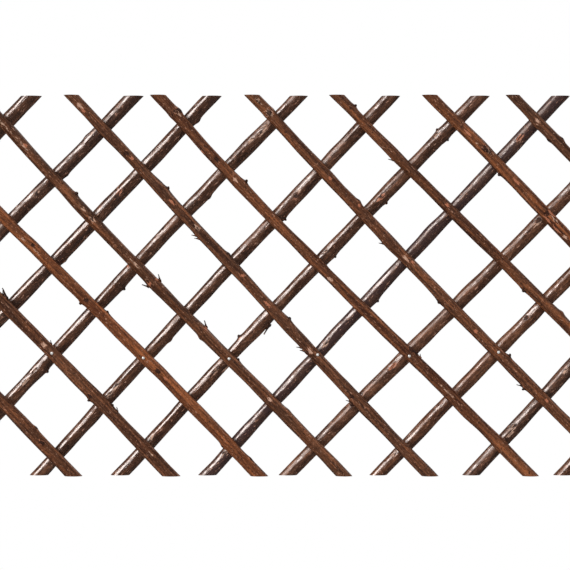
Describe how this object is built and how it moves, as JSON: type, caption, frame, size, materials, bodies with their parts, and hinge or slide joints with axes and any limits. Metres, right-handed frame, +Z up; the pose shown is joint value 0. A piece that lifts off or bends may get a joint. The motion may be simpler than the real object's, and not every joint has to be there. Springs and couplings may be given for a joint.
{
  "type": "expanding willow trellis panel",
  "caption": "Expanding garden trellis panel of bark-covered willow sticks in crossed front and back layers, nailed at each crossing so that the lattice folds like scissors.",
  "frame": {"origin": "on the pivot nail, in the plane where the front and the back layer meet", "axes": "+X to the right seen from the front, +Y towards the wall behind, +Z up"},
  "size_m": [0.72, 0.0287, 0.38],
  "materials": {
    "front_bark": "fibrous brown bark",
    "back_bark": "smooth dark glossy bark",
    "nail_steel": "bright wire nail"
  },
  "bodies": {
    "pivot": {"pivot_nail": "nail_steel"},
    "front_left_5": {"front_stick_left_5": "front_bark"},
    "front_left_4": {"front_stick_left_4": "front_bark"},
    "front_left_3": {"front_stick_left_3": "front_bark"},
    "front_left_2": {"front_stick_left_2": "front_bark"},
    "front_left_1": {"front_stick_left_1": "front_bark"},
    "front_centre": {"front_stick_centre": "front_bark"},
    "front_right_1": {"front_stick_right_1": "front_bark"},
    "front_right_2": {"front_stick_right_2": "front_bark"},
    "front_right_3": {"front_stick_right_3": "front_bark"},
    "front_right_4": {"front_stick_right_4": "front_bark"},
    "back_left_5": {"back_stick_left_5": "back_bark", "nails_left_5": "nail_steel"},
    "back_left_4": {"back_stick_left_4": "back_bark", "nails_left_4": "nail_steel"},
    "back_left_3": {"back_stick_left_3": "back_bark", "nails_left_3": "nail_steel"},
    "back_left_2": {"back_stick_left_2": "back_bark", "nails_left_2": "nail_steel"},
    "back_left_1": {"back_stick_left_1": "back_bark", "nails_left_1": "nail_steel"},
    "back_centre": {"back_stick_centre": "back_bark", "nails_centre": "nail_steel"},
    "back_right_1": {"back_stick_right_1": "back_bark", "nails_right_1": "nail_steel"},
    "back_right_2": {"back_stick_right_2": "back_bark", "nails_right_2": "nail_steel"},
    "back_right_3": {"back_stick_right_3": "back_bark", "nails_right_3": "nail_steel"},
    "back_right_4": {"back_stick_right_4": "back_bark", "nails_right_4": "nail_steel"},
    "back_right_5": {"back_stick_right_5": "back_bark", "nails_right_5": "nail_steel"}
  },
  "joints": [
    {"name": "fold", "type": "hinge", "parent": "pivot", "child": "front_centre", "pos_m": [0, 0, 0], "axis": [0, 1, 0], "range_deg": [-34, 34]},
    {"name": "back_centre_turn", "type": "hinge", "parent": "pivot", "child": "back_centre", "pos_m": [0, 0, 0], "axis": [0, 1, 0], "range_deg": [-34, 34]},
    {"name": "front_left_4_turn", "type": "hinge", "parent": "back_centre", "child": "front_left_4", "pos_m": [-0.17465, 0, -0.18404], "axis": [0, 1, 0], "range_deg": [-68, 68]},
    {"name": "front_left_3_turn", "type": "hinge", "parent": "back_centre", "child": "front_left_3", "pos_m": [-0.13185, 0, -0.13895], "axis": [0, 1, 0], "range_deg": [-68, 68]},
    {"name": "front_left_2_turn", "type": "hinge", "parent": "back_centre", "child": "front_left_2", "pos_m": [-0.09005, 0, -0.09489], "axis": [0, 1, 0], "range_deg": [-68, 68]},
    {"name": "front_left_1_turn", "type": "hinge", "parent": "back_centre", "child": "front_left_1", "pos_m": [-0.04453, 0, -0.04692], "axis": [0, 1, 0], "range_deg": [-68, 68]},
    {"name": "front_right_1_turn", "type": "hinge", "parent": "back_centre", "child": "front_right_1", "pos_m": [0.04577, 0, 0.04823], "axis": [0, 1, 0], "range_deg": [-68, 68]},
    {"name": "front_right_2_turn", "type": "hinge", "parent": "back_centre", "child": "front_right_2", "pos_m": [0.09054, 0, 0.09541], "axis": [0, 1, 0], "range_deg": [-68, 68]},
    {"name": "front_right_3_turn", "type": "hinge", "parent": "back_centre", "child": "front_right_3", "pos_m": [0.13532, 0, 0.14259], "axis": [0, 1, 0], "range_deg": [-68, 68]},
    {"name": "back_left_3_turn", "type": "hinge", "parent": "front_centre", "child": "back_left_3", "pos_m": [-0.1349, 0, 0.1392], "axis": [0, 1, 0], "range_deg": [-68, 68]},
    {"name": "back_left_2_turn", "type": "hinge", "parent": "front_centre", "child": "back_left_2", "pos_m": [-0.0917, 0, 0.09463], "axis": [0, 1, 0], "range_deg": [-68, 68]},
    {"name": "back_left_1_turn", "type": "hinge", "parent": "front_centre", "child": "back_left_1", "pos_m": [-0.04345, 0, 0.04484], "axis": [0, 1, 0], "range_deg": [-68, 68]},
    {"name": "back_right_1_turn", "type": "hinge", "parent": "front_centre", "child": "back_right_1", "pos_m": [0.04269, 0, -0.04406], "axis": [0, 1, 0], "range_deg": [-68, 68]},
    {"name": "back_right_2_turn", "type": "hinge", "parent": "front_centre", "child": "back_right_2", "pos_m": [0.08943, 0, -0.09228], "axis": [0, 1, 0], "range_deg": [-68, 68]},
    {"name": "back_right_3_turn", "type": "hinge", "parent": "front_centre", "child": "back_right_3", "pos_m": [0.13237, 0, -0.1366], "axis": [0, 1, 0], "range_deg": [-68, 68]},
    {"name": "back_right_4_turn", "type": "hinge", "parent": "front_centre", "child": "back_right_4", "pos_m": [0.17734, 0, -0.183], "axis": [0, 1, 0], "range_deg": [-68, 68]},
    {"name": "back_left_5_turn", "type": "hinge", "parent": "front_left_2", "child": "back_left_5", "pos_m": [-0.31665, 0, 0.13895], "axis": [0, 1, 0], "range_deg": [-68, 68]},
    {"name": "back_left_4_turn", "type": "hinge", "parent": "front_left_1", "child": "back_left_4", "pos_m": [-0.2201, 0, 0.13425], "axis": [0, 1, 0], "range_deg": [-68, 68]},
    {"name": "back_right_5_turn", "type": "hinge", "parent": "front_right_1", "child": "back_right_5", "pos_m": [0.2706, 0, -0.18378], "axis": [0, 1, 0], "range_deg": [-68, 68]},
    {"name": "front_left_5_turn", "type": "hinge", "parent": "back_left_1", "child": "front_left_5", "pos_m": [-0.26634, 0, -0.19004], "axis": [0, 1, 0], "range_deg": [-68, 68]},
    {"name": "front_right_4_turn", "type": "hinge", "parent": "back_right_1", "child": "front_right_4", "pos_m": [0.21858, 0, 0.14129], "axis": [0, 1, 0], "range_deg": [-68, 68]}
  ],
  "couplings": [
    {"joint": "back_centre_turn", "follows": "fold", "ratio": -1},
    {"joint": "front_left_4_turn", "follows": "fold", "ratio": 2},
    {"joint": "front_left_3_turn", "follows": "fold", "ratio": 2},
    {"joint": "front_left_2_turn", "follows": "fold", "ratio": 2},
    {"joint": "front_left_1_turn", "follows": "fold", "ratio": 2},
    {"joint": "front_right_1_turn", "follows": "fold", "ratio": 2},
    {"joint": "front_right_2_turn", "follows": "fold", "ratio": 2},
    {"joint": "front_right_3_turn", "follows": "fold", "ratio": 2},
    {"joint": "back_left_3_turn", "follows": "fold", "ratio": -2},
    {"joint": "back_left_2_turn", "follows": "fold", "ratio": -2},
    {"joint": "back_left_1_turn", "follows": "fold", "ratio": -2},
    {"joint": "back_right_1_turn", "follows": "fold", "ratio": -2},
    {"joint": "back_right_2_turn", "follows": "fold", "ratio": -2},
    {"joint": "back_right_3_turn", "follows": "fold", "ratio": -2},
    {"joint": "back_right_4_turn", "follows": "fold", "ratio": -2},
    {"joint": "back_left_5_turn", "follows": "fold", "ratio": -2},
    {"joint": "back_left_4_turn", "follows": "fold", "ratio": -2},
    {"joint": "back_right_5_turn", "follows": "fold", "ratio": -2},
    {"joint": "front_left_5_turn", "follows": "fold", "ratio": 2},
    {"joint": "front_right_4_turn", "follows": "fold", "ratio": 2}
  ]
}
